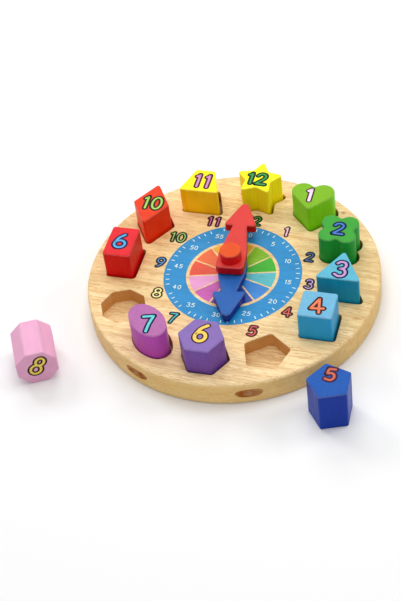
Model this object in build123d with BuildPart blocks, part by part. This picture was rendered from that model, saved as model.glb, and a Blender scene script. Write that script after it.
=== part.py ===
"""Wooden shape-sorting teaching clock, in millimetres.

The frame's origin is the centre of the board's underside. +Z points up, +Y points to twelve
o'clock and +X to three o'clock. Clock angles run clockwise from twelve o'clock.
"""
from build123d import *
from math import asin, atan, cos, radians, sin, sqrt, tan
import os

os.makedirs("parts", exist_ok=True)

# ------------------------------------------------------------------ driving dimensions
# Board
hour_angle = 360 / 12
board_diameter = 250
board_thickness = 23
board_edge_radius = 2.5
recess_depth = 13.5
recess_lip_radius = 0.6
rim_to_ring = 29  # from the rim in to the ring that the recess centres lie on
board_radius = board_diameter / 2
ring_radius = board_radius - rim_to_ring

# Finger hollows in the rim, either side of six o'clock
hollow_angles = (160.5, 206)
hollow_length = 24
hollow_height = 9.8
hollow_depth = 3.5

# Number blocks
block_height = 39
block_corner_radius = 2
block_inner_radius = 3
block_edge_radius = 1
block_gap = 1.3  # all round a block that is centred in its recess
block_side_gap = 0.3  # left on the nine o'clock side, where every block has slid over
wood_between_spans = 5.7  # between the spans of two neighbouring hours
block_span = 2 * ring_radius * sin(radians(hour_angle / 2)) - wood_between_spans

# Block outlines, in parts of the span that each hour has on the ring
star_tip_radius = 0.5 * block_span
star_inner_radius = 0.268 * block_span
heart_lobe_radius = 0.225 * block_span
heart_lobe_spread = 0.2 * block_span
heart_lobe_rise = 0.098 * block_span
heart_tip_drop = 0.429 * block_span
clover_lobe_radius = 0.186 * block_span
clover_lobe_spread = 0.175 * block_span
triangle_radius = 0.505 * block_span
square_side = 0.643 * block_span
pentagon_radius = 0.43 * block_span
hexagon_radius = 0.439 * block_span
oval_length = 0.932 * block_span
oval_width = 0.605 * block_span
oval_end_radius = 0.227 * block_span
oval_turn = 132  # clock angle of its long axis
octagon_radius = 0.418 * block_span
rectangle_width = 0.545 * block_span
rectangle_height = 0.773 * block_span
rhombus_width = 0.732 * block_span
rhombus_height = 1.145 * block_span
trapezoid_base = 0.818 * block_span
trapezoid_top = 0.386 * block_span
trapezoid_height = 0.627 * block_span

# Each recess, from one o'clock on: degrees past its hour, and how far outside the ring
recess_drift = {
    "block_01_heart": (4, 0.6),
    "block_02_clover": (3.7, -1.4),
    "block_03_triangle": (3.6, -0.7),
    "block_04_square": (-0.9, 1.4),
    "block_05_pentagon": (-0.1, -0.9),
    "block_06_hexagon": (-0.4, -0.4),
    "block_07_oval": (-1.4, 2.2),
    "block_08_octagon": (-2.1, 1.3),
    "block_09_rectangle": (-0.8, -0.8),
    "block_10_rhombus": (0.6, 0.3),
    "block_11_trapezoid": (1.3, -0.2),
    "block_12_star": (1.8, -1.5),
}

# The pentagon stands beside the board, and the octagon lies there on one of its sides
loose_pentagon_angle = 137.4
loose_pentagon_from_rim = 34
loose_pentagon_turn = -20
loose_octagon_angle = 233
loose_octagon_from_rim = 55
loose_octagon_heading = 153.4  # clock angle that its number face looks towards

# Hands, which share one tail and one arrowhead
ring_to_minute_hand = 28  # from the ring in to the minute hand's tip
hour_hand_shorter = 11  # than the minute hand
minute_hand_angle = 356.7
hour_hand_angle = 171.4
hand_thickness = 8.5
hand_edge_radius = 1.2
tail_half_width = 12
tail_reach = 11.5
tail_corner_radius = 4
taper_start = 6
neck_half_width = 6.2
neck_corner_radius = 1
head_half_width = 14.45  # to its side corners before they are rounded
head_length = 27.5
head_tip_radius = 4
head_corner_radius = 2

# Spindle, washers and knob
spindle_diameter = 10
spindle_floor = 8  # wood left under the spindle's blind hole
spindle_chamfer = 0.8
running_clearance = 0.1  # hands and washers around the spindle
glue_clearance = 0.05
washer_diameter = 20
washer_thickness = 0.8
knob_diameter = 18
knob_height = 9.5
knob_bore_depth = 5.5
knob_edge_radius = 0.5
knob_clearance = 0.2  # between the minute hand and the knob

# ------------------------------------------------------------------ derived sizes
recess_floor = board_thickness - recess_depth
block_slide = block_gap - block_side_gap
minute_hand_reach = ring_radius - ring_to_minute_hand
hour_hand_reach = minute_hand_reach - hour_hand_shorter
spindle_radius = spindle_diameter / 2
hour_hand_bottom = board_thickness + washer_thickness
hour_hand_top = hour_hand_bottom + hand_thickness
minute_hand_bottom = hour_hand_top + washer_thickness
knob_bottom = minute_hand_bottom + hand_thickness + knob_clearance
spindle_top = knob_bottom + knob_bore_depth


def clock_point(radius, angle):
    """X and Y at a clock angle and a distance from the spindle's axis."""
    return radius * sin(radians(angle)), radius * cos(radians(angle))


def upright_plane(x, y, height, angle=0):
    """A level plane whose own +Y points along a clock angle."""
    return Plane(origin=(x, y, height), x_dir=(*clock_point(1, angle + 90), 0), z_dir=(0, 0, 1))


# Centre of each recess
recess_centres = {}
for hour, (name, (degrees_past, outside_ring)) in enumerate(recess_drift.items(), start=1):
    angle = hour * hour_angle + degrees_past
    recess_centres[name] = clock_point(ring_radius + outside_ring, angle)

# ------------------------------------------------------------------ block outlines
# Heart: two round lobes, with straight sides that run from them to a corner at six o'clock
lobe_height = heart_lobe_rise + heart_tip_drop
to_lobe_centre = sqrt(heart_lobe_spread**2 + lobe_height**2)
side_length = sqrt(to_lobe_centre**2 - heart_lobe_radius**2)
side_lean = atan(heart_lobe_spread / lobe_height) + asin(heart_lobe_radius / to_lobe_centre)
side_top = (side_length * sin(side_lean), side_length * cos(side_lean) - heart_tip_drop)
notch = (0, heart_lobe_rise + sqrt(heart_lobe_radius**2 - heart_lobe_spread**2))
with BuildSketch() as heart:
    with BuildLine():
        Line((0, -heart_tip_drop), side_top)
        ThreePointArc(side_top, (heart_lobe_spread, heart_lobe_rise + heart_lobe_radius), notch)
        mirror(about=Plane.YZ)
    make_face()
    fillet(heart.vertices().sort_by(Axis.Y)[-1], block_inner_radius)
    fillet(heart.vertices().sort_by(Axis.Y)[0], block_corner_radius)

# Clover: four round lobes on the diagonals
with BuildSketch() as clover:
    with GridLocations(2 * clover_lobe_spread, 2 * clover_lobe_spread, 2, 2):
        Circle(clover_lobe_radius)
    Rectangle(2 * clover_lobe_spread, 2 * clover_lobe_spread)
    fillet(clover.vertices().group_by(SortBy.DISTANCE)[0], block_inner_radius)

# Triangle: equal sides, one corner towards twelve o'clock
with BuildSketch() as triangle:
    RegularPolygon(triangle_radius, 3, rotation=90, align=None)
    fillet(triangle.vertices(), block_corner_radius)

# Square
with BuildSketch() as square:
    Rectangle(square_side, square_side)
    fillet(square.vertices(), block_corner_radius)

# Pentagon: one corner towards twelve o'clock
with BuildSketch() as pentagon:
    RegularPolygon(pentagon_radius, 5, rotation=90, align=None)
    fillet(pentagon.vertices(), block_corner_radius)

# Hexagon: corners towards three and nine o'clock
with BuildSketch() as hexagon:
    RegularPolygon(hexagon_radius, 6, align=None)
    fillet(hexagon.vertices(), block_corner_radius)

# Oval: a round arc at each end and a flatter one along each side, tangent where they meet
end_centre = oval_length / 2 - oval_end_radius
side_excess = oval_width / 2 - oval_end_radius
side_centre = (end_centre**2 - side_excess**2) / (2 * side_excess)
join_scale = 1 + oval_end_radius / (side_excess + side_centre)
join_x = end_centre * join_scale
join_y = side_centre * (join_scale - 1)
with BuildSketch(upright_plane(0, 0, 0, oval_turn - 90)) as oval:
    with BuildLine():
        ThreePointArc((-join_x, join_y), (0, oval_width / 2), (join_x, join_y))
        ThreePointArc((join_x, join_y), (oval_length / 2, 0), (join_x, -join_y))
        ThreePointArc((join_x, -join_y), (0, -oval_width / 2), (-join_x, -join_y))
        ThreePointArc((-join_x, -join_y), (-oval_length / 2, 0), (-join_x, join_y))
    make_face()

# Octagon: one corner towards twelve o'clock
octagon_sides = 8
with BuildSketch() as octagon:
    RegularPolygon(octagon_radius, octagon_sides, align=None)
    fillet(octagon.vertices(), block_corner_radius)

# Rectangle
with BuildSketch() as rectangle:
    Rectangle(rectangle_width, rectangle_height)
    fillet(rectangle.vertices(), block_corner_radius)

# Rhombus: its long diagonal towards twelve o'clock
with BuildSketch() as rhombus:
    with BuildLine():
        Polyline(
            (0, rhombus_height / 2),
            (rhombus_width / 2, 0),
            (0, -rhombus_height / 2),
            (-rhombus_width / 2, 0),
            close=True,
        )
    make_face()
    fillet(rhombus.vertices(), block_corner_radius)

# Trapezoid: its narrow side towards twelve o'clock
with BuildSketch() as trapezoid:
    with BuildLine():
        Polyline(
            (-trapezoid_base / 2, -trapezoid_height / 2),
            (trapezoid_base / 2, -trapezoid_height / 2),
            (trapezoid_top / 2, trapezoid_height / 2),
            (-trapezoid_top / 2, trapezoid_height / 2),
            close=True,
        )
    make_face()
    fillet(trapezoid.vertices(), block_corner_radius)

# Star: five points, one of them towards twelve o'clock
with BuildSketch() as star:
    with BuildLine():
        tips = [clock_point(star_tip_radius, 72 * point) for point in range(5)]
        notches = [clock_point(star_inner_radius, 72 * point + 36) for point in range(5)]
        Polyline(*[corner for pair in zip(tips, notches) for corner in pair], close=True)
    make_face()
    fillet(star.vertices().group_by(SortBy.DISTANCE)[-1], block_corner_radius)
    fillet(star.vertices().group_by(SortBy.DISTANCE)[0], block_inner_radius)

outlines = {
    "block_01_heart": heart.sketch,
    "block_02_clover": clover.sketch,
    "block_03_triangle": triangle.sketch,
    "block_04_square": square.sketch,
    "block_05_pentagon": pentagon.sketch,
    "block_06_hexagon": hexagon.sketch,
    "block_07_oval": oval.sketch,
    "block_08_octagon": octagon.sketch,
    "block_09_rectangle": rectangle.sketch,
    "block_10_rhombus": rhombus.sketch,
    "block_11_trapezoid": trapezoid.sketch,
    "block_12_star": star.sketch,
}

# ------------------------------------------------------------------ board
# A round plank with rounded edges
with BuildPart() as clock_board:
    with BuildSketch():
        Circle(board_radius)
    extrude(amount=board_thickness)
    fillet(clock_board.edges().filter_by(GeomType.CIRCLE), board_edge_radius)

    # Twelve blind recesses, each its block's outline with the gap all round
    for name, outline in outlines.items():
        with BuildSketch(upright_plane(*recess_centres[name], board_thickness)):
            add(outline)
            offset(amount=block_gap)
        extrude(amount=-recess_depth, mode=Mode.SUBTRACT)
    recess_lips = clock_board.faces().sort_by(Axis.Z)[-1].inner_wires()
    fillet(recess_lips.edges(), recess_lip_radius)

    # Blind hole for the spindle
    with BuildSketch(Plane.XY.offset(board_thickness)):
        Circle(spindle_radius + glue_clearance)
    extrude(amount=spindle_floor - board_thickness, mode=Mode.SUBTRACT)

    # Finger hollows, milled by an upright cutter with a round edge
    half_length = hollow_length / 2
    rim_bulge = board_radius - sqrt(board_radius**2 - half_length**2)
    cut_bulge = hollow_depth - rim_bulge
    cutter_radius = (half_length**2 + cut_bulge**2) / (2 * cut_bulge)
    for angle in hollow_angles:
        x, y = clock_point(board_radius - hollow_depth + cutter_radius, angle)
        cutter_plane = Plane((x, y, board_thickness / 2), x_dir=(1, 0, 0), z_dir=(0, -1, 0))
        with BuildSketch(cutter_plane):
            with BuildLine():
                Polyline(
                    (cutter_radius - hollow_depth, hollow_height / 2),
                    (0, hollow_height / 2),
                    (0, -hollow_height / 2),
                    (cutter_radius - hollow_depth, -hollow_height / 2),
                )
                ThreePointArc(
                    (cutter_radius - hollow_depth, -hollow_height / 2),
                    (cutter_radius, 0),
                    (cutter_radius - hollow_depth, hollow_height / 2),
                )
            make_face()
        revolve(axis=Axis((x, y, 0), (0, 0, 1)), mode=Mode.SUBTRACT)
clock_board.part.label = "clock_board"
export_step(clock_board.part, "parts/clock_board.step")

# ------------------------------------------------------------------ number blocks
# In its recess a block stands on the floor, against the nine o'clock side
block_planes = {}
for name in outlines:
    recess_x, recess_y = recess_centres[name]
    block_planes[name] = upright_plane(recess_x - block_slide, recess_y, recess_floor)

# The pentagon stands on the table
block_planes["block_05_pentagon"] = upright_plane(
    *clock_point(board_radius + loose_pentagon_from_rim, loose_pentagon_angle),
    0,
    loose_pentagon_turn,
)

# The octagon lies on one of its sides, so its number leans half a side's angle to the right
octagon_flat = octagon_radius * cos(radians(180 / octagon_sides))
octagon_lean = radians(180 / octagon_sides)
octagon_x, octagon_y = clock_point(board_radius + loose_octagon_from_rim, loose_octagon_angle)
heading_x, heading_y = clock_point(1, loose_octagon_heading)
block_planes["block_08_octagon"] = Plane(
    origin=(
        octagon_x - heading_x * block_height / 2,
        octagon_y - heading_y * block_height / 2,
        octagon_flat,
    ),
    x_dir=(-heading_y * cos(octagon_lean), heading_x * cos(octagon_lean), -sin(octagon_lean)),
    z_dir=(heading_x, heading_y, 0),
)

for name, outline in outlines.items():
    upright = Axis(block_planes[name].origin, block_planes[name].z_dir)
    with BuildPart() as block:
        with BuildSketch(block_planes[name]):
            add(outline)
        extrude(amount=block_height)
        fillet(block.faces().filter_by(upright).edges(), block_edge_radius)
    block.part.label = name
    export_step(block.part, f"parts/{name}.step")


# ------------------------------------------------------------------ hands
def make_hand(name, reach, angle, bottom):
    """A flat wooden arrow with a square tail, bored for the spindle."""
    shoulder = reach - head_length
    tip_centre = head_length - head_tip_radius
    to_tip_centre = sqrt(head_half_width**2 + tip_centre**2)
    side_slope = atan(head_half_width / tip_centre) - asin(head_tip_radius / to_tip_centre)
    right_side = [
        (0, shoulder + head_half_width / tan(side_slope)),
        (head_half_width, shoulder),
        (neck_half_width, shoulder),
        (tail_half_width, taper_start),
        (tail_half_width, -tail_reach),
    ]
    left_side = [(-x, y) for x, y in reversed(right_side[1:])]
    with BuildSketch() as arrow:
        with BuildLine():
            Polyline(*right_side, *left_side, close=True)
        make_face()
        fillet(arrow.vertices().group_by(Axis.Y)[0], tail_corner_radius)
        fillet(arrow.vertices().group_by(Axis.Y)[-2].sort_by(Axis.X)[1:3], neck_corner_radius)
        fillet(arrow.vertices().group_by(Axis.Y)[-2].sort_by(Axis.X)[::3], head_corner_radius)
        fillet(arrow.vertices().group_by(Axis.Y)[-1], head_tip_radius)
    with BuildPart() as hand:
        with BuildSketch(upright_plane(0, 0, bottom, angle)):
            add(arrow.sketch)
        extrude(amount=hand_thickness)
        fillet(hand.faces().filter_by(Axis.Z).edges(), hand_edge_radius)
        with BuildSketch(Plane.XY.offset(bottom)):
            Circle(spindle_radius + running_clearance)
        extrude(amount=hand_thickness, mode=Mode.SUBTRACT)
    hand.part.label = name
    export_step(hand.part, f"parts/{name}.step")


make_hand("hour_hand", hour_hand_reach, hour_hand_angle, hour_hand_bottom)
make_hand("minute_hand", minute_hand_reach, minute_hand_angle, minute_hand_bottom)

# ------------------------------------------------------------------ spindle and knob
# Spindle: a dowel glued into the board, with both hands turning on it
with BuildPart() as spindle:
    with BuildSketch(Plane.XY.offset(spindle_floor)):
        Circle(spindle_radius)
    extrude(amount=spindle_top - spindle_floor)
    chamfer(spindle.edges().filter_by(GeomType.CIRCLE), spindle_chamfer)
spindle.part.label = "spindle"
export_step(spindle.part, "parts/spindle.step")

# Washers: one under each hand
for name, bottom in (
    ("hour_hand_washer", board_thickness),
    ("minute_hand_washer", hour_hand_top),
):
    with BuildPart() as washer:
        with BuildSketch(Plane.XY.offset(bottom)):
            Circle(washer_diameter / 2)
            Circle(spindle_radius + running_clearance, mode=Mode.SUBTRACT)
        extrude(amount=washer_thickness)
    washer.part.label = name
    export_step(washer.part, f"parts/{name}.step")

# Knob: a sawn round bored from below and glued on the spindle
with BuildPart() as knob:
    with BuildSketch(Plane.XY.offset(knob_bottom)):
        Circle(knob_diameter / 2)
    extrude(amount=knob_height)
    fillet(knob.edges().filter_by(GeomType.CIRCLE), knob_edge_radius)
    with BuildSketch(Plane.XY.offset(knob_bottom)):
        Circle(spindle_radius + glue_clearance)
    extrude(amount=knob_bore_depth, mode=Mode.SUBTRACT)
knob.part.label = "knob"
export_step(knob.part, "parts/knob.step")
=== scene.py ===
"""Looks of a wooden shape-sorting teaching clock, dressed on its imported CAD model.

Metres, in the CAD model's frame: the origin is the centre of the board's underside, +Z points up,
+Y to twelve o'clock and +X to three o'clock. Clock angles run clockwise from twelve o'clock.
"""
from math import cos, degrees, hypot, pi, radians, sin

import bpy
from mathutils import Matrix, Vector


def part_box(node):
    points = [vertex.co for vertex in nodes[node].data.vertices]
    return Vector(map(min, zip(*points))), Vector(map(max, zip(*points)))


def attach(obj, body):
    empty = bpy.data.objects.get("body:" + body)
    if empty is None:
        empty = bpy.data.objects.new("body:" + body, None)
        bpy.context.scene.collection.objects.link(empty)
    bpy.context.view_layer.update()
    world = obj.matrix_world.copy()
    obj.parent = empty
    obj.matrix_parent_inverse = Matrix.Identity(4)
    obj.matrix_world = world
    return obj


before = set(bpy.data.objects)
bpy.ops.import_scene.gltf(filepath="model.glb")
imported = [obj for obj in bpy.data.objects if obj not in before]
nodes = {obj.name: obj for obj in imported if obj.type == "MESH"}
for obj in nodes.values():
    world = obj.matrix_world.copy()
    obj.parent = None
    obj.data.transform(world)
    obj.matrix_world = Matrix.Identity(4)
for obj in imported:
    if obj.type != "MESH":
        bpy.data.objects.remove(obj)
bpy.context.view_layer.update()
mm = 0.001

# ------------------------------------------------------------------------------- clock board
# A round plank of rubberwood staves glued edge to edge, sanded and clear lacquered. The twelve
# recesses, and the two finger hollows in its rim, are milled. The recesses are tinted darker,
# partly as the milled wood's own tone and partly as painted shade, and the hollows are painted a
# darker brown.
board_radius = 125 * mm
board_thickness = 23 * mm
recess_floor = 9.5 * mm
recesses_reach = 120.7 * mm  # from the axis, and only the finger hollows lie beyond it
stave_width = 44 * mm
first_stave = 206.0  # picks the tone that each stave has
board_grain_turn = radians(2.6)
knot_place = (78 * mm, 88 * mm, board_thickness)
lacquer_gloss = 0.25


def linear(red, green, blue):
    """A screen colour, 0 to 255, as the linear colour that a shader takes."""
    shares = [value / 255 for value in (red, green, blue)]
    return (*(s / 12.92 if s < 0.04 else ((s + 0.055) / 1.055) ** 2.4 for s in shares), 1.0)


def feed(tree, node, inputs):
    """Gives each named input of a node a plain value, or the socket that feeds it."""
    for name, value in inputs.items():
        if isinstance(value, bpy.types.NodeSocket):
            tree.links.new(value, node.inputs[name])
        else:
            node.inputs[name].default_value = value


def add_node(tree, kind, inputs=None, **settings):
    """Adds a node with its settings, and feeds its inputs."""
    node = tree.nodes.new(kind)
    for name, value in settings.items():
        setattr(node, name, value)
    feed(tree, node, inputs or {})
    return node


def maths(tree, operation, *values):
    node = add_node(tree, "ShaderNodeMath", dict(enumerate(values)), operation=operation)
    return node.outputs[0]


def remap(tree, value, low, high, to_low=0.0, to_high=1.0):
    """A value between low and high, spread from to_low to to_high and held there beyond them."""
    inputs = dict(enumerate((value, low, high, to_low, to_high)))
    return add_node(tree, "ShaderNodeMapRange", inputs).outputs[0]


def mix(tree, share, first, second, blend_type="MIX"):
    """The first colour, turned into the second by a share."""
    inputs = {0: share, 6: first, 7: second}
    node = add_node(tree, "ShaderNodeMix", inputs, data_type="RGBA", blend_type=blend_type)
    return node.outputs[2]


def turned(tree, vector, rotation):
    """Coordinates turned so that a pattern along their X runs another way."""
    inputs = {"Vector": vector, "Rotation": rotation}
    return add_node(tree, "ShaderNodeMapping", inputs).outputs[0]


def spots(tree, vector, length, width, detail=2.0):
    """Noise whose spots have that length along X, and that width across it."""
    scale = (1 / length, 1 / width, 1 / width)
    scaled = add_node(tree, "ShaderNodeMapping", {"Vector": vector, "Scale": scale}).outputs[0]
    inputs = {"Vector": scaled, "Scale": 1.0, "Detail": detail}
    return add_node(tree, "ShaderNodeTexNoise", inputs).outputs["Fac"]


def new_group(name, inputs, outputs):
    """An empty group of shader nodes, with its inputs' values and its outputs' sockets."""
    group = bpy.data.node_groups.new(name, "ShaderNodeTree")
    for label, kind in inputs.items():
        group.interface.new_socket(label, in_out="INPUT", socket_type="NodeSocket" + kind)
    for label, kind in outputs.items():
        group.interface.new_socket(label, in_out="OUTPUT", socket_type="NodeSocket" + kind)
    given = group.nodes.new("NodeGroupInput").outputs
    return group, given, group.nodes.new("NodeGroupOutput").inputs


def place_group(tree, group, **inputs):
    """Puts a group into a material with its values, and gives its outputs."""
    return add_node(tree, "ShaderNodeGroup", inputs, node_tree=group).outputs


def new_material(name):
    """An empty material, with its tree, its shader and the object's coordinates."""
    material = bpy.data.materials.new(name)
    material.use_nodes = True
    tree = material.node_tree
    coordinates = add_node(tree, "ShaderNodeTexCoord").outputs["Object"]
    return material, tree, tree.nodes["Principled BSDF"], coordinates


def finish_surface(tree, shader, colour, roughness, height, depth, gloss=lacquer_gloss):
    """Feeds a shader its colour, its roughness, a relief of that depth and its gloss."""
    bump = add_node(tree, "ShaderNodeBump", {"Height": height, "Distance": depth}).outputs[0]
    feed(tree, shader, {"Base Color": colour, "Roughness": roughness, "Normal": bump})
    feed(tree, shader, {"Specular IOR Level": gloss})


def dress(node, material):
    """Gives a CAD node its material."""
    mesh = nodes[node].data
    mesh.materials.clear()
    mesh.materials.append(material)


# Bare wood with its grain along X: soft growth bands, dark fibres and fine pores, in staves
# that each have their own tone, with a hairline of glue between them
bare_wood, given, made = new_group(
    "bare_wood",
    {"Vector": "Vector", "Pale": "Color", "Dark": "Color", "Stave_Width": "Float"},
    {"Color": "Color", "Fibres": "Float", "Roughness": "Float", "Height": "Float"},
)
along, across, upward = add_node(
    bare_wood, "ShaderNodeSeparateXYZ", {0: given["Vector"]}
).outputs
stave_place = maths(bare_wood, "DIVIDE", across, given["Stave_Width"])
stave_number = maths(bare_wood, "FLOOR", maths(bare_wood, "ADD", stave_place, first_stave))
stave_random = add_node(
    bare_wood, "ShaderNodeTexWhiteNoise", {"W": stave_number}, noise_dimensions="1D"
).outputs["Value"]
wander = spots(bare_wood, given["Vector"], 160 * mm, 60 * mm, 1.0)
stave_vector = add_node(
    bare_wood,
    "ShaderNodeCombineXYZ",
    {
        0: maths(bare_wood, "ADD", along, stave_random),
        1: maths(bare_wood, "MULTIPLY_ADD", wander, 12 * mm, across),
        2: maths(bare_wood, "ADD", upward, stave_random),
    },
).outputs[0]
bands = spots(bare_wood, stave_vector, 130 * mm, 6 * mm, 3.0)
patches = spots(bare_wood, stave_vector, 45 * mm, 5 * mm, 2.0)
lines = remap(bare_wood, spots(bare_wood, stave_vector, 22 * mm, 0.8 * mm, 3.0), 0.48, 0.64)
dashes = remap(bare_wood, spots(bare_wood, stave_vector, 7 * mm, 0.7 * mm), 0.53, 0.64)
fibres = maths(bare_wood, "MAXIMUM", maths(bare_wood, "MULTIPLY", lines, 0.75), dashes)
pores = remap(bare_wood, spots(bare_wood, stave_vector, 5 * mm, 0.35 * mm), 0.58, 0.7)
grain_share = maths(
    bare_wood,
    "MULTIPLY",
    maths(bare_wood, "MULTIPLY_ADD", fibres, 0.75, 0.06),
    remap(bare_wood, patches, 0.35, 0.62, 0.35, 1.0),
)
band_share = remap(bare_wood, bands, 0.4, 0.7, 0.0, 0.45)
tone = mix(bare_wood, band_share, given["Pale"], given["Dark"])
tone = mix(bare_wood, grain_share, tone, given["Dark"])
pore_share = maths(bare_wood, "MULTIPLY", pores, 0.3)
tone = mix(bare_wood, pore_share, tone, given["Dark"], "MULTIPLY")
tone = add_node(
    bare_wood,
    "ShaderNodeHueSaturation",
    {
        "Value": remap(bare_wood, stave_random, 0.0, 1.0, 0.93, 1.03),
        "Saturation": remap(bare_wood, stave_random, 0.0, 1.0, 1.08, 0.94),
        "Color": tone,
    },
).outputs[0]
from_middle = maths(bare_wood, "PINGPONG", stave_place, 1.0)
glue_line = maths(
    bare_wood,
    "ADD",
    remap(bare_wood, from_middle, 0.0, 0.004, 1.0, 0.0),
    remap(bare_wood, from_middle, 0.996, 1.0),
)
glue_share = maths(bare_wood, "MULTIPLY", glue_line, 0.4)
tone = mix(bare_wood, glue_share, tone, given["Dark"])
sunk = maths(bare_wood, "MULTIPLY_ADD", pores, 0.6, maths(bare_wood, "MULTIPLY", fibres, 0.4))
bare_wood.links.new(tone, made["Color"])
bare_wood.links.new(fibres, made["Fibres"])
bare_wood.links.new(remap(bare_wood, fibres, 0.0, 1.0, 0.4, 0.58), made["Roughness"])
bare_wood.links.new(maths(bare_wood, "SUBTRACT", 1.0, sunk), made["Height"])

pale_wood = linear(253, 226, 170)
dark_wood = linear(200, 145, 74)
rim_tint = linear(238, 192, 98)
# The milled and wall tints darken the recesses, partly as the milled wood's own tone and partly as
# painted shade
milled_and_shade_tint = linear(246, 204, 138)
torn_tint = linear(170, 112, 54)
wall_and_shade_tint = linear(200, 134, 50)
hollow_brown_tint = linear(172, 94, 14)
knot_tint = linear(150, 86, 50)
board_wood, tree, shader, coordinates = new_material("board_wood")
wood = place_group(
    tree,
    bare_wood,
    Vector=turned(tree, coordinates, (0, 0, board_grain_turn)),
    Pale=pale_wood,
    Dark=dark_wood,
    Stave_Width=stave_width,
)
x, y, z = add_node(tree, "ShaderNodeSeparateXYZ", {0: coordinates}).outputs
from_axis = add_node(
    tree,
    "ShaderNodeVectorMath",
    {0: add_node(tree, "ShaderNodeCombineXYZ", {0: x, 1: y}).outputs[0]},
    operation="LENGTH",
).outputs["Value"]
# The turned rim is end grain over half its way round, so it takes up more lacquer
rim = maths(
    tree,
    "MULTIPLY",
    remap(tree, from_axis, board_radius - 2.5 * mm, board_radius - 0.3 * mm),
    remap(tree, z, board_thickness - 2.5 * mm, board_thickness - 0.5 * mm, 1.0, 0.0),
)
colour = mix(tree, maths(tree, "MULTIPLY", rim, 0.55), wood["Color"], rim_tint)
# Recess walls, below the lip and inside the rim, and the recess floors. They are tinted darker and
# more golden, the walls most: partly the milled wood's own tone and partly painted shade inside the
# recesses.
inside = remap(
    tree, from_axis, recesses_reach - 0.1 * mm, recesses_reach + 0.1 * mm, 1.0, 0.0
)
below_lip = remap(tree, z, board_thickness - 1.2 * mm, board_thickness - 0.5 * mm, 1.0, 0.0)
above_floor = remap(tree, z, recess_floor + 0.05 * mm, recess_floor + 0.4 * mm)
above_underside = remap(tree, z, recess_floor - 1 * mm, recess_floor - 0.5 * mm)
milled = maths(tree, "MULTIPLY", inside, maths(tree, "MULTIPLY", below_lip, above_underside))
wall = maths(tree, "MULTIPLY", milled, above_floor)
colour = mix(tree, maths(tree, "MULTIPLY", milled, 0.25), colour, milled_and_shade_tint)
torn = maths(tree, "MULTIPLY", milled, maths(tree, "MULTIPLY", wood["Fibres"], 0.3))
colour = mix(tree, torn, colour, torn_tint)
colour = mix(tree, maths(tree, "MULTIPLY", wall, 0.7), colour, wall_and_shade_tint)
# Finger hollows: what lies behind the rim's own surface, halfway up between its rounded edges
behind_rim = maths(
    tree,
    "MULTIPLY",
    remap(tree, from_axis, board_radius - 0.6 * mm, board_radius - 0.25 * mm, 1.0, 0.0),
    remap(tree, from_axis, recesses_reach + 0.2 * mm, recesses_reach + 0.4 * mm),
)
halfway_up = maths(
    tree,
    "MULTIPLY",
    remap(tree, z, 4 * mm, 5 * mm),
    remap(tree, z, board_thickness - 5 * mm, board_thickness - 4 * mm, 1.0, 0.0),
)
hollow = maths(tree, "MULTIPLY", behind_rim, halfway_up)
# The finger hollows are painted a mottled, darker brown
hollow_brown_spots = remap(tree, spots(tree, coordinates, 9 * mm, 3 * mm), 0.35, 0.6, 0.6, 1.0)
colour = mix(tree, maths(tree, "MULTIPLY", hollow, hollow_brown_spots), colour, hollow_brown_tint)
# One small knot between the heart and the clover
to_knot = add_node(
    tree, "ShaderNodeVectorMath", {0: coordinates, 1: knot_place}, operation="DISTANCE"
).outputs["Value"]
knot = remap(tree, to_knot, 0.8 * mm, 3.0 * mm, 0.6, 0.0)
colour = mix(tree, knot, colour, knot_tint)
finish_surface(tree, shader, colour, wood["Roughness"], wood["Height"], 0.08 * mm)
dress("clock_board", board_wood)

# ------------------------------------------------------------------------------ printed dial
# A blue minute ring round twelve bright sectors, printed straight onto the lacquered board in
# a thin layer of ink, so that the grain still shows through a little.
ink_thickness = 0.05 * mm
dial_centre = Vector((-0.325 * mm, -0.518 * mm))
dial_turn = 2.4
ring_outer_radius = 59.14 * mm
ring_inner_radius = 39.74 * mm
sector_outer_radius = 37 * mm
sector_inner_radius = 10.5 * mm
sector_gap = 1.4 * mm
ring_steps = 180
sector_steps = 12
grain_through_ink = 0.55
ring_blue = linear(32, 142, 205)
sector_inks = (
    linear(235, 175, 30),
    linear(130, 190, 30),
    linear(60, 180, 40),
    linear(90, 190, 200),
    linear(60, 140, 220),
    linear(45, 80, 170),
    linear(120, 70, 160),
    linear(205, 95, 180),
    linear(240, 165, 215),
    linear(235, 85, 60),
    linear(240, 110, 60),
    linear(245, 175, 50),
)


def clock_point(radius, angle):
    """X and Y at a clock angle and a distance from the dial's centre."""
    return dial_centre + radius * Vector((sin(radians(angle)), cos(radians(angle))))


def add_object(name, data):
    """A new object in the scene, with its mesh, lamp or camera."""
    thing = bpy.data.objects.new(name, data)
    bpy.context.scene.collection.objects.link(thing)
    return thing


def keep_inks(mesh, inks):
    """Keeps the ink of each of a mesh's points in it, for the material to show."""
    channels = [channel for ink in inks for channel in ink]
    mesh.attributes.new("ink", "FLOAT_COLOR", "POINT").data.foreach_set("color", channels)


def new_piece(name, vertices, faces, inks, body, material):
    """A closed mesh piece whose points keep their ink, and which rides on a body."""
    mesh = bpy.data.meshes.new(name)
    mesh.from_pydata(vertices, [], faces)
    keep_inks(mesh, inks)
    mesh.materials.append(material)
    piece = add_object(name, mesh)
    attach(piece, body)


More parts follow.
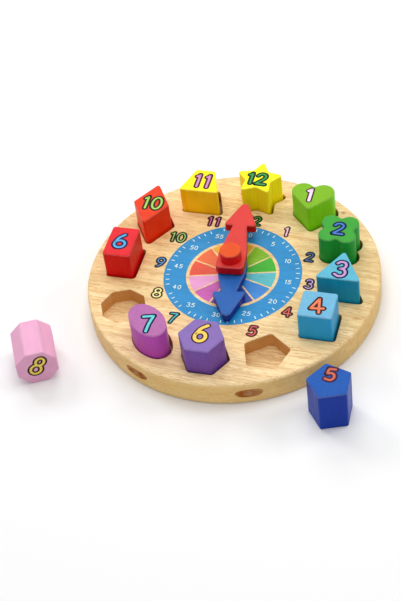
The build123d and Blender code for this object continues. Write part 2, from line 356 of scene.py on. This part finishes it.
def print_patches(name, patches, body, material):
    """Flat patches of ink on the board, each two runs of points, outer and inner."""
    vertices, faces, inks = [], [], []
    for outer, inner, ink, is_loop in patches:
        start, count = len(vertices), len(outer)
        for point_out, point_in in zip(outer, inner):
            for point in (point_out, point_in):
                for height in (board_thickness + ink_thickness, board_thickness - ink_thickness):
                    vertices.append((*point, height))
        inks += [ink] * 4 * count
        for step in range(count if is_loop else count - 1):
            here, after = start + 4 * step, start + 4 * ((step + 1) % count)
            # Corners of a cross-section: 0 outer top, 1 outer bottom, 2 inner top, 3 inner bottom
            for first, second in ((0, 2), (2, 3), (3, 1), (1, 0)):
                faces.append((here + first, here + second, after + second, after + first))
        if not is_loop:
            faces.append((start, start + 1, start + 3, start + 2))
            last = start + 4 * (count - 1)
            faces.append((last, last + 2, last + 3, last + 1))
    new_piece(name, vertices, faces, inks, body, material)


dial_ink, tree, shader, coordinates = new_material("dial_ink")
ink = add_node(tree, "ShaderNodeAttribute", attribute_name="ink").outputs["Color"]
under = place_group(
    tree,
    bare_wood,
    Vector=turned(tree, coordinates, (0, 0, board_grain_turn)),
    Pale=linear(255, 255, 255),
    Dark=linear(205, 200, 190),
    Stave_Width=stave_width,
)
finish_surface(
    tree,
    shader,
    mix(tree, grain_through_ink, ink, under["Color"], "MULTIPLY"),
    under["Roughness"],
    under["Height"],
    0.04 * mm,
)

ring_angles = [360 * step / ring_steps for step in range(ring_steps)]
ring_outer_run = [clock_point(ring_outer_radius, angle) for angle in ring_angles]
ring_inner_run = [clock_point(ring_inner_radius, angle) for angle in ring_angles]
ring_patch = (ring_outer_run, ring_inner_run, ring_blue, True)
print_patches("minute_ring", [ring_patch], "board", dial_ink)

sector_patches = []
for hour, sector_ink in enumerate(sector_inks):
    sector_middle = 30 * hour + dial_turn
    runs = []
    for radius in (sector_outer_radius, sector_inner_radius):
        half_angle = 15 - degrees(sector_gap / 2 / radius)
        shares = [2 * step / sector_steps - 1 for step in range(sector_steps + 1)]
        runs.append([clock_point(radius, sector_middle + half_angle * share) for share in shares])
    sector_patches.append((*runs, sector_ink, False))
print_patches("hour_sectors", sector_patches, "board", dial_ink)

# -------------------------------------------------------------------------------- minute marks
# Four short white strokes between the fives, printed over the blue ring. A tree sets them
# round a circle and leaves out every fifth place, where the numbers stand.
tick_radius = 55.6 * mm
tick_length = 3.1 * mm
tick_width = 0.7 * mm
white_ink = linear(232, 252, 238)


def new_geometry_tree(name, inputs):
    """An empty geometry tree with its named inputs."""
    tree = bpy.data.node_groups.new(name, "GeometryNodeTree")
    tree.interface.new_socket("Geometry", in_out="INPUT", socket_type="NodeSocketGeometry")
    for label, kind in inputs.items():
        tree.interface.new_socket(label, in_out="INPUT", socket_type="NodeSocket" + kind)
    tree.interface.new_socket("Geometry", in_out="OUTPUT", socket_type="NodeSocketGeometry")
    given = tree.nodes.new("NodeGroupInput").outputs
    return tree, given, tree.nodes.new("NodeGroupOutput").inputs


def grow(name, start_mesh, tree, values, body):
    """Runs a geometry tree on a mesh, and keeps the result as a plain piece on a body."""
    seed = add_object(name + "_seed", start_mesh)
    modifier = seed.modifiers.new("grow", "NODES")
    modifier.node_group = tree
    inputs = [item for item in tree.interface.items_tree if item.in_out == "INPUT"]
    sockets = {item.name: item.identifier for item in inputs}
    for label, value in values.items():
        modifier[sockets[label]] = value
    evaluated = seed.evaluated_get(bpy.context.evaluated_depsgraph_get())
    mesh = bpy.data.meshes.new_from_object(evaluated)
    bpy.data.objects.remove(seed)
    mesh.name = name
    piece = add_object(name, mesh)
    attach(piece, body)
    return piece


tick_tree, given, made = new_geometry_tree(
    "tick_ring",
    {
        "Radius": "Float",
        "Length": "Float",
        "Width": "Float",
        "Thickness": "Float",
        "Ink": "Color",
        "Material": "Material",
    },
)
circle = add_node(tick_tree, "GeometryNodeMeshCircle", {"Vertices": 60, "Radius": given["Radius"]})
index = add_node(tick_tree, "GeometryNodeInputIndex").outputs[0]
fifth = maths(tick_tree, "MODULO", index, 5.0)
between_fives = add_node(
    tick_tree, "FunctionNodeCompare", {0: fifth, 1: 0.5}, operation="GREATER_THAN"
).outputs[0]
bar_size = add_node(
    tick_tree,
    "ShaderNodeCombineXYZ",
    {0: given["Length"], 1: given["Width"], 2: given["Thickness"]},
).outputs[0]
bar = add_node(tick_tree, "GeometryNodeMeshCube", {"Size": bar_size}).outputs[0]
turn = add_node(
    tick_tree,
    "FunctionNodeAlignRotationToVector",
    {"Vector": add_node(tick_tree, "GeometryNodeInputPosition").outputs[0]},
    axis="X",
    pivot_axis="Z",
).outputs[0]
bars = add_node(
    tick_tree,
    "GeometryNodeInstanceOnPoints",
    {"Points": circle.outputs[0], "Selection": between_fives, "Instance": bar, "Rotation": turn},
).outputs[0]
bars = add_node(tick_tree, "GeometryNodeRealizeInstances", {0: bars}).outputs[0]
bars = add_node(
    tick_tree,
    "GeometryNodeStoreNamedAttribute",
    {"Geometry": bars, "Name": "ink", "Value": given["Ink"]},
    data_type="FLOAT_COLOR",
    domain="POINT",
).outputs[0]
bars = add_node(
    tick_tree, "GeometryNodeSetMaterial", {"Geometry": bars, "Material": given["Material"]}
).outputs[0]
tick_tree.links.new(bars, made["Geometry"])

ticks = grow(
    "minute_ticks",
    bpy.data.meshes.new("ticks"),
    tick_tree,
    {
        "Radius": tick_radius,
        "Length": tick_length,
        "Width": tick_width,
        "Thickness": 2 * ink_thickness,
        "Ink": white_ink,
        "Material": dial_ink,
    },
    "board",
)
ticks.data.transform(
    Matrix.Translation((*dial_centre, board_thickness + ink_thickness))
    @ Matrix.Rotation(radians(90 - dial_turn), 4, "Z")
)

# ------------------------------------------------------------------------------ dial numbers
# The hours stand outside the ring in a bright colour with a dark outline, and the minutes
# stand inside it in plain white. All of them are printed upright, in the same round hand.
def oval(centre_x, centre_y, half_width, half_height):
    """Eight points round an oval, from its top and back to it."""
    turns = [step * pi / 4 for step in range(8)]
    points = [(centre_x + half_width * sin(t), centre_y + half_height * cos(t)) for t in turns]
    return points + points[:1]


digit_strokes = {
    "0": [oval(0.28, 0.5, 0.28, 0.5)],
    "1": [[(0.1, 0.84), (0.2, 0.9), (0.26, 1)], [(0.26, 1), (0.26, 0)]],
    "2": [
        [(0.03, 0.8), (0.14, 0.96), (0.34, 1), (0.52, 0.86), (0.5, 0.62), (0.28, 0.32), (0, 0.02)],
        [(0, 0.02), (0.58, 0)],
    ],
    "3": [
        [(0.04, 0.88), (0.2, 1), (0.44, 0.96), (0.52, 0.76), (0.42, 0.58), (0.22, 0.53)],
        [(0.22, 0.53), (0.46, 0.47), (0.56, 0.26), (0.46, 0.05), (0.22, 0), (0, 0.12)],
    ],
    "4": [[(0.38, 1), (0, 0.3)], [(0, 0.3), (0.6, 0.3)], [(0.38, 1), (0.4, 0)]],
    "5": [
        [(0.54, 1), (0.12, 1)],
        [(0.12, 1), (0.06, 0.55)],
        [(0.06, 0.55), (0.3, 0.64), (0.52, 0.52), (0.54, 0.22), (0.34, 0.01), (0, 0.08)],
    ],
    "6": [[(0.5, 1), (0.2, 0.76), (0.02, 0.36)], oval(0.29, 0.28, 0.28, 0.28)],
    "7": [[(0, 1), (0.5, 1)], [(0.5, 1), (0.28, 0.52), (0.12, 0)]],
    "8": [oval(0.28, 0.77, 0.22, 0.23), oval(0.28, 0.27, 0.28, 0.27)],
    "9": [[(0.07, 0), (0.37, 0.24), (0.55, 0.64)], oval(0.28, 0.72, 0.28, 0.28)],
}
digit_spacing = 0.36


def smooth_run(points, steps=5):
    """Points along one even curve through the given ones. It is a loop if it ends as it began."""
    inner = [Vector(point) for point in points]
    if len(points) == 2:
        return [inner[0].lerp(inner[1], step / steps) for step in range(steps + 1)]
    is_loop = points[0] == points[-1]
    before = inner[-2] if is_loop else 2 * inner[0] - inner[1]
    after = inner[1] if is_loop else 2 * inner[-1] - inner[-2]
    knots = [before, *inner, after]
    run = []
    for a, b, c, d in zip(knots, knots[1:], knots[2:], knots[3:]):
        for step in range(steps):
            t = step / steps
            run.append(
                (
                    2 * b
                    + (c - a) * t
                    + (2 * a - 5 * b + 4 * c - d) * t**2
                    + (3 * b - a - 3 * c + d) * t**3
                )
                / 2
            )
    return run + [inner[-1]]


def number_runs(text, centre, height, stretch=1.0, turn=0.0):
    """The strokes of a number of that height about its centre, stretched in width and turned."""
    runs, left = [], 0.0
    for digit in text:
        strokes = digit_strokes[digit]
        runs += [[(x + left, y) for x, y in smooth_run(stroke)] for stroke in strokes]
        left += max(x for stroke in strokes for x, y in stroke) + digit_spacing
    middle = (left - digit_spacing) / 2
    place = Matrix.Translation((*centre, 0)) @ Matrix.Rotation(radians(turn), 4, "Z")
    place = place @ Matrix.Diagonal((height * stretch, height, 1, 1))
    return [[(place @ Vector((x - middle, y - 0.5, 0))).xy for x, y in run] for run in runs]


def stroke_mesh(name, layers):
    """A wire mesh of strokes. A layer is its runs of points, its height, half width and ink."""
    vertices, edges, widths, inks = [], [], [], []
    for runs, height, half_width, ink in layers:
        for run in runs:
            is_loop = hypot(run[0][0] - run[-1][0], run[0][1] - run[-1][1]) < 1e-9
            points = run[:-1] if is_loop else run
            start = len(vertices)
            vertices += [(*point, height) for point in points]
            edges += [(start + i, start + i + 1) for i in range(len(points) - 1)]
            if is_loop:
                edges.append((start + len(points) - 1, start))
            widths += [half_width] * len(points)
            inks += [ink] * len(points)
    mesh = bpy.data.meshes.new(name)
    mesh.from_pydata(vertices, edges, [])
    mesh.attributes.new("half_width", "FLOAT", "POINT").data.foreach_set("value", widths)
    keep_inks(mesh, inks)
    return mesh


# Strokes of ink: a flat band along each run, and a flat round end at both of its ends
stroke_tree, given, made = new_geometry_tree(
    "ink_strokes", {"Flatness": "Float", "Material": "Material"}
)
half_width = add_node(
    stroke_tree, "GeometryNodeInputNamedAttribute", {"Name": "half_width"}, data_type="FLOAT"
).outputs[0]
runs = add_node(stroke_tree, "GeometryNodeMeshToCurve", {0: given["Geometry"]}).outputs[0]
runs = add_node(stroke_tree, "GeometryNodeSetCurveNormal", {0: runs}, mode="Z_UP").outputs[0]
round_profile = add_node(
    stroke_tree, "GeometryNodeCurvePrimitiveCircle", {"Resolution": 10}
).outputs[0]
flat_scale = add_node(
    stroke_tree, "ShaderNodeCombineXYZ", {0: 1.0, 1: given["Flatness"], 2: 1.0}
).outputs[0]
flat_profile = add_node(
    stroke_tree, "GeometryNodeTransform", {"Geometry": round_profile, "Scale": flat_scale}
).outputs[0]
bands = add_node(
    stroke_tree,
    "GeometryNodeCurveToMesh",
    {"Curve": runs, "Profile Curve": flat_profile, "Scale": half_width, "Fill Caps": True},
).outputs[0]
ball = add_node(
    stroke_tree, "GeometryNodeMeshUVSphere", {"Segments": 16, "Rings": 8, "Radius": 1.0}
).outputs[0]
end_points = add_node(stroke_tree, "GeometryNodeCurveEndpointSelection").outputs[0]
end_height = maths(stroke_tree, "MULTIPLY", half_width, given["Flatness"])
end_scale = add_node(
    stroke_tree, "ShaderNodeCombineXYZ", {0: half_width, 1: half_width, 2: end_height}
).outputs[0]
ends = add_node(
    stroke_tree,
    "GeometryNodeInstanceOnPoints",
    {"Points": runs, "Selection": end_points, "Instance": ball, "Scale": end_scale},
).outputs[0]
ends = add_node(stroke_tree, "GeometryNodeRealizeInstances", {0: ends}).outputs[0]
joined = stroke_tree.nodes.new("GeometryNodeJoinGeometry")
stroke_tree.links.new(ends, joined.inputs[0])
stroke_tree.links.new(bands, joined.inputs[0])
smooth = add_node(stroke_tree, "GeometryNodeSetShadeSmooth", {0: joined.outputs[0]}).outputs[0]
stroke_tree.links.new(
    add_node(
        stroke_tree, "GeometryNodeSetMaterial", {"Geometry": smooth, "Material": given["Material"]}
    ).outputs[0],
    made["Geometry"],
)

# For each hour, in millimetres: where its middle is and its height to the middle of its strokes.
# Then how far it is stretched in width, half its fill's width in millimetres, and the screen
# colours of its fill and its outline
hour_prints = {
    "1": ((33.1, 57.0), 10.0, 1.0, 0.6, (255, 215, 240), (95, 5, 45)),
    "2": ((60.2, 29.5), 9.4, 1.0, 0.3, (80, 135, 200), (2, 4, 35)),
    "3": ((66.4, -2.2), 9.6, 1.0, 0.45, (220, 175, 240), (25, 5, 50)),
    "4": ((55.4, -36.4), 9.6, 1.12, 0.4, (250, 110, 95), (70, 0, 0)),
    "5": ((31.6, -61.8), 9.6, 1.0, 0.5, (240, 95, 90), (80, 0, 5)),
    "6": ((-3.1, -67.7), 9.6, 1.0, 0.6, (255, 205, 75), (55, 20, 5)),
    "7": ((-36.9, -58.5), 10.0, 1.14, 0.48, (75, 215, 225), (0, 12, 25)),
    "8": ((-58.1, -32.4), 9.7, 1.16, 0.65, (255, 252, 160), (42, 30, 0)),
    "9": ((-65.4, 3.5), 10.1, 1.0, 0.42, (95, 175, 240), (0, 5, 40)),
    "10": ((-59.2, 36.1), 10.3, 1.1, 0.42, (170, 230, 105), (3, 32, 8)),
    "11": ((-33.4, 60.4), 10.2, 1.1, 0.32, (255, 140, 210), (65, 0, 35)),
    "12": ((2.2, 66.5), 9.9, 0.97, 0.35, (75, 180, 65), (0, 30, 8)),
}
hour_outline_half_width = 2.1 * mm
hour_flatness = 0.035  # of a stroke's cross-section: its height as a share of its width
over_outline = board_thickness + 1.5 * ink_thickness
hour_layers = []
for hour, (centre, height, stretch, fill_half_width, fill, outline) in hour_prints.items():
    runs = number_runs(hour, Vector(centre) * mm, height * mm, stretch)
    hour_layers.append((runs, board_thickness, hour_outline_half_width, linear(*outline)))
    hour_layers.append((runs, over_outline, fill_half_width * mm, linear(*fill)))
stroke_values = {"Flatness": hour_flatness, "Material": dial_ink}
grow("hour_numbers", stroke_mesh("hours", hour_layers), stroke_tree, stroke_values, "board")

minute_radius = 48.5 * mm
minute_height = 4.3 * mm
minute_half_width = 0.32 * mm
minute_flatness = 0.1
over_ring = board_thickness + ink_thickness
minute_layers = [
    (
        number_runs(str(minute), clock_point(minute_radius, 6 * minute + dial_turn), minute_height),
        over_ring,
        minute_half_width,
        white_ink,
    )
    for minute in range(5, 65, 5)
]
# The print has one stray dot of white, between the eleven and the ten
stray_dot = [(-30.7 * mm, 33.8 * mm), (-30.5 * mm, 33.8 * mm)]
stray_dot_half_width = 0.4 * mm
minute_layers.append(([stray_dot], over_ring, stray_dot_half_width, white_ink))
stroke_values = {"Flatness": minute_flatness, "Material": dial_ink}
grow("minute_numbers", stroke_mesh("minutes", minute_layers), stroke_tree, stroke_values, "board")

# ----------------------------------------------------------------------------- number blocks
# Upright sections of sanded hardwood, sawn from twelve shaped rails, rounded over at both ends
# and sprayed in satin paint, through which a little of the upright grain still shows.
paint_gloss = 0.15
block_streaks = 0.3
octagon_streaks = 0.1
upright_grain = (0, pi / 2, 0)
octagon_heading = radians(153.4)
painted_wood, given, made = new_group(
    "painted_wood",
    {"Vector": "Vector", "Paint": "Color", "Streaks": "Float"},
    {"Color": "Color", "Roughness": "Float", "Height": "Float"},
)
streaks = spots(painted_wood, given["Vector"], 34 * mm, 1.2 * mm, 3.0)
clouds = spots(painted_wood, given["Vector"], 24 * mm, 9 * mm, 1.0)
specks = spots(painted_wood, given["Vector"], 1.2 * mm, 0.8 * mm, 2.0)
pores = remap(painted_wood, spots(painted_wood, given["Vector"], 6 * mm, 0.4 * mm), 0.6, 0.72)
streak_value = maths(
    painted_wood, "MULTIPLY", maths(painted_wood, "SUBTRACT", streaks, 0.5), given["Streaks"]
)
cloud_value = remap(painted_wood, clouds, 0.3, 0.7, 0.96, 1.04)
painted = add_node(
    painted_wood,
    "ShaderNodeHueSaturation",
    {
        "Value": maths(painted_wood, "ADD", streak_value, cloud_value),
        "Saturation": remap(painted_wood, specks, 0.3, 0.7, 0.98, 1.02),
        "Color": given["Paint"],
    },
).outputs[0]
painted_wood.links.new(painted, made["Color"])
painted_wood.links.new(remap(painted_wood, streaks, 0.3, 0.7, 0.34, 0.46), made["Roughness"])
relief = maths(painted_wood, "MULTIPLY_ADD", specks, 0.5, streaks)
painted_wood.links.new(maths(painted_wood, "SUBTRACT", relief, pores), made["Height"])


def painted_material(name, sides, ends, grain_turn, high, streaks):
    """Paint on wood, whose grain the turn brings to X. The end at the top has a colour of its own,
    a lighter and paler copy of the sides' paint, which is painted sheen from the lamps above."""
    material, tree, shader, coordinates = new_material(name)
    z = add_node(tree, "ShaderNodeSeparateXYZ", {0: coordinates}).outputs[2]
    # Painted light: the end gets a lighter, paler colour for the sheen from above, and the sides a
    # darker one for their shade
    sheen_on_end = remap(tree, z, high - 1.0 * mm, high - 0.15 * mm)
    coat = place_group(
        tree,
        painted_wood,
        Vector=turned(tree, coordinates, grain_turn),
        Paint=mix(tree, sheen_on_end, linear(*sides), linear(*ends)),
        Streaks=streaks,
    )
    # A painted highlight: the paint is made a little paler where the sides round over into the end
    edge = maths(
        tree,
        "MULTIPLY",
        remap(tree, z, high - 1.4 * mm, high - 0.7 * mm),
        remap(tree, z, high - 0.5 * mm, high - 0.1 * mm, 1.0, 0.0),
    )
    edge_highlight = maths(tree, "MULTIPLY", edge, remap(tree, coat["Height"], 0.4, 0.9, 0.02, 0.16))
    colour = mix(tree, edge_highlight, coat["Color"], linear(250, 240, 225))
    finish_surface(
        tree, shader, colour, coat["Roughness"], coat["Height"], 0.05 * mm, paint_gloss
    )
    return material


# For each block: its material, and the screen colours of its sides and of its ends. The sides'
# colour is set darker and the ends' colour lighter and paler: painted shade on the sides and
# painted sheen on the ends from the lamps above.
block_paints = {
    "block_01_heart": ("heart_paint", (127, 212, 8), (123, 180, 18)),
    "block_02_clover": ("clover_paint", (0, 154, 52), (58, 160, 50)),
    "block_03_triangle": ("triangle_paint", (8, 144, 176), (90, 179, 205)),
    "block_04_square": ("square_paint", (38, 164, 218), (110, 178, 212)),
    "block_05_pentagon": ("pentagon_paint", (0, 52, 162), (24, 86, 172)),
    "block_06_hexagon": ("hexagon_paint", (119, 78, 166), (133, 106, 176)),
    "block_07_oval": ("oval_paint", (184, 73, 180), (178, 106, 166)),
    "block_08_octagon": ("octagon_paint", (233, 170, 203), (233, 170, 203)),
    "block_09_rectangle": ("rectangle_paint", (218, 2, 5), (224, 30, 40)),
    "block_10_rhombus": ("rhombus_paint", (236, 50, 2), (228, 54, 0)),
    "block_11_trapezoid": ("trapezoid_paint", (255, 208, 0), (255, 234, 0)),
    "block_12_star": ("star_paint", (253, 232, 0), (255, 253, 0)),
}
for node, (slot, sides, ends) in block_paints.items():
    grain_turn, streaks = upright_grain, block_streaks
    if node == "block_08_octagon":
        # The octagon lies on one of its sides, so its grain is level
        grain_turn, streaks = (0, 0, octagon_heading - pi / 2), octagon_streaks
    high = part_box(node)[1]
    dress(node, painted_material(slot, sides, ends, grain_turn, high.z, streaks))

# ----------------------------------------------------------------------------- block numbers
# Each block has its hour printed on its upper end, in a bright colour with a dark outline.
# The nine has been put in half a turn round, so that it reads as a six.
number_streaks = 0.12
number_ink, tree, shader, coordinates = new_material("number_ink")
ink = add_node(tree, "ShaderNodeAttribute", attribute_name="ink").outputs["Color"]
coat = place_group(tree, painted_wood, Vector=coordinates, Paint=ink, Streaks=number_streaks)
finish_surface(
    tree, shader, coat["Color"], coat["Roughness"], coat["Height"], 0.03 * mm, paint_gloss
)

# For each block: what it reads, then in millimetres where its middle is on the block's end and
# its height to the middle of its strokes. Then how far it is stretched in width and turned in
# degrees, half its fill's width in millimetres, and the screen colours of its fill and outline
block_numbers = {
    "block_01_heart": ("1", (49.7, 79.4), 14.4, 1.04, 0, 1.4, (246, 212, 236), (62, 5, 38)),
    "block_02_clover": ("2", (84.0, 41.5), 12.5, 1.12, 0, 1.0, (60, 120, 200), (4, 15, 65)),
    "block_03_triangle": ("3", (94.9, -5.4), 16.4, 0.92, 0, 1.2, (190, 148, 205), (10, 10, 48)),
    "block_04_square": ("4", (84.2, -49.0), 15.0, 1.15, 7, 1.2, (235, 125, 85), (58, 15, 15)),
    "block_05_pentagon": ("5", (106.8, -110.6), 11.4, 1.05, 0, 1.15, (205, 100, 72), (58, 24, 64)),
    "block_06_hexagon": ("6", (-0.8, -93.3), 17.2, 0.92, 0, 1.5, (250, 205, 95), (38, 15, 22)),
    "block_07_oval": ("7", (-45.6, -90.3), 16.2, 1.02, 15, 1.2, (100, 205, 215), (20, 8, 55)),
    "block_08_octagon": ("8", (-0.2, 2.3), 18.2, 0.84, -8, 1.2, (240, 215, 95), (50, 0, 15)),
    "block_09_rectangle": ("6", (-97.1, -1.5), 15.1, 1.1, 8, 1.15, (85, 170, 225), (12, 8, 70)),
    "block_10_rhombus": ("10", (-83.1, 49.3), 14.2, 1.0, 0, 1.05, (160, 208, 85), (42, 30, 4)),
    "block_11_trapezoid": ("11", (-47.5, 83.6), 15.2, 0.95, 0, 1.15, (212, 135, 190), (62, 10, 42)),
    "block_12_star": ("12", (0.6, 93.2), 13.2, 1.04, 0, 1.0, (50, 155, 65), (0, 42, 18)),
}
block_height = 39 * mm
octagon_lean = radians(22.5)
number_outline_half_width = 2.65 * mm
number_flatness = 0.03
fill_lift = 0.06 * mm
for node, (text, centre, height, stretch, turn, half_width, fill, outline) in block_numbers.items():
    runs = number_runs(text, Vector(centre) * mm, height * mm, stretch, turn)
    layers = [
        (runs, 0, number_outline_half_width, linear(*outline)),
        (runs, fill_lift, half_width * mm, linear(*fill)),
    ]
    piece_name = node.replace("block", "number")
    stroke_values = {"Flatness": number_flatness, "Material": number_ink}
    number = grow(piece_name, stroke_mesh(node, layers), stroke_tree, stroke_values, node)
    low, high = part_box(node)
    if node == "block_08_octagon":
        # Its end is upright as it lies, and its number leans half a side over
        outward = Vector((sin(octagon_heading), cos(octagon_heading), 0))
        level = Vector((-outward.y, outward.x, 0))
        right = level * cos(octagon_lean) - Vector((0, 0, 1)) * sin(octagon_lean)
        end_plane = Matrix((right, outward.cross(right), outward)).transposed().to_4x4()
        end_plane.translation = (low + high) / 2 + outward * block_height / 2
        number.data.transform(end_plane)
    else:
        number.data.transform(Matrix.Translation((0, 0, high.z)))

# -------------------------------------------------------------------- spindle and its washers
# The spindle is a beech dowel glued into the board. Each hand turns on it, over a thin washer
# punched from dark grey plastic. That dark grey is also painted shade, for the dark line under each
# hand.
spindle_stave_width = 40 * mm
spindle_wood, tree, shader, coordinates = new_material("spindle_wood")
wood = place_group(
    tree,
    bare_wood,
    Vector=turned(tree, coordinates, upright_grain),
    Pale=linear(226, 186, 132),
    Dark=linear(184, 136, 84),
    Stave_Width=spindle_stave_width,
)
finish_surface(tree, shader, wood["Color"], wood["Roughness"], wood["Height"], 0.05 * mm)
dress("spindle", spindle_wood)

# Near-black grey, partly painted shade for the dark line under each hand
washer_plastic, tree, shader, coordinates = new_material("washer_plastic")
sheet_grain = spots(tree, coordinates, 0.5 * mm, 0.5 * mm, 3.0)
finish_surface(
    tree,
    shader,
    mix(tree, sheet_grain, linear(30, 26, 34), linear(48, 42, 52)),
    remap(tree, sheet_grain, 0.3, 0.7, 0.4, 0.55),
    sheet_grain,
    0.02 * mm,
)
dress("hour_hand_washer", washer_plastic)
dress("minute_hand_washer", washer_plastic)

# ------------------------------------------------------------------------------------- hands
# Two arrows with a square tail, sawn out of planed strip, rounded over and sprayed in satin
# paint. The blue hour hand lies below the red minute hand, and their grain runs along them.
hand_streaks = 0.2
# For each hand: its material, its clock angle, and the screen colours of its sides and its faces.
# The faces' colour is a lighter, paler copy of the sides' colour: painted sheen from above, and the
# sides painted shade.
hand_paints = {
    "hour_hand": ("blue_hand_paint", 171.4, (0, 48, 150), (34, 94, 171)),
    "minute_hand": ("red_hand_paint", 356.7, (192, 0, 4), (216, 58, 52)),
}
for node, (slot, heading, sides, faces) in hand_paints.items():
    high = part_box(node)[1]
    grain_turn = (0, 0, radians(heading - 90))
    dress(node, painted_material(slot, sides, faces, grain_turn, high.z, hand_streaks))

# -------------------------------------------------------------------------------------- knob
# A slice of thick dowel bored from below, glued over the end of the spindle, and sprayed in
# orange-red satin paint.
# The end's colour is a lighter, more orange copy of the sides' red: painted light and sheen from
# above
knob_sides = (232, 6, 0)
knob_end_lit = (222, 76, 2)
knob_streaks = 0.2
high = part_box("knob")[1]
knob_paint = painted_material(
    "knob_paint", knob_sides, knob_end_lit, upright_grain, high.z, knob_streaks
)
dress("knob", knob_paint)

# ------------------------------------------------------------------------- floor and lighting
# White paper under large soft lamps, which are above, at both sides and behind. The camera
# looks down from just to the right of six o'clock.
floor_reach = 4
corner_signs = ((-1, -1), (1, -1), (1, 1), (-1, 1))
floor_corners = [(x * floor_reach, y * floor_reach, 0) for x, y in corner_signs]
floor_mesh = bpy.data.meshes.new("floor")
floor_mesh.from_pydata(floor_corners, [], [(0, 1, 2, 3)])
paper_floor = add_object("floor", floor_mesh)
floor_paper, tree, shader, coordinates = new_material("floor_paper")
tooth = spots(tree, coordinates, 1.5 * mm, 1.5 * mm)
# It is white to look at, and a little greyer for the light that it throws back at the clock
ray = add_node(tree, "ShaderNodeLightPath").outputs
seen = maths(tree, "MAXIMUM", ray["Is Camera Ray"], ray["Is Glossy Ray"])
seen = maths(tree, "MAXIMUM", seen, ray["Is Transmission Ray"])
finish_surface(
    tree,
    shader,
    mix(
        tree,
        seen,
        linear(222, 222, 222),
        mix(tree, tooth, linear(242, 242, 242), linear(245, 245, 245)),
    ),
    remap(tree, tooth, 0.3, 0.7, 0.85, 0.95),
    tooth,
    0.05 * mm,
)
floor_mesh.materials.append(floor_paper)


def add_lamp(name, place, size, watts):
    """A soft square lamp that looks at the middle of the clock."""
    data = bpy.data.lights.new(name, "AREA")
    data.size = size
    data.energy = watts
    lamp = add_object(name, data)
    lamp.location = place
    lamp.rotation_euler = (-Vector(place)).to_track_quat("-Z", "Y").to_euler()


add_lamp("top_lamp", (0, 0.1, 1.6), 1.2, 11.0)
add_lamp("back_lamp", (-0.4, 1.15, 1.15), 0.8, 6.0)
add_lamp("back_left_lamp", (-1.1, 0.6, 1.0), 0.5, 5.4)
add_lamp("back_right_lamp", (1.1, 0.6, 1.0), 0.5, 5.4)
add_lamp("front_lamp", (0.3, -1.6, 0.9), 0.9, 4.0)

world = bpy.data.worlds.new("studio")
bpy.context.scene.world = world
world.use_nodes = True
background = world.node_tree.nodes["Background"].inputs
background["Color"].default_value = (1, 1, 1, 1)
background["Strength"].default_value = 0.38

camera_data = bpy.data.cameras.new("camera")
camera_data.sensor_fit = "VERTICAL"
camera_data.sensor_height = 36
camera_data.lens = 87.3754
camera = add_object("camera", camera_data)
camera.location = (0.28585, -0.83185, 0.89655)
camera.rotation_euler = [radians(angle) for angle in (44.00723, 5.90414, 14.88749)]
bpy.context.scene.camera = camera
bpy.context.scene.view_settings.view_transform = "Standard"
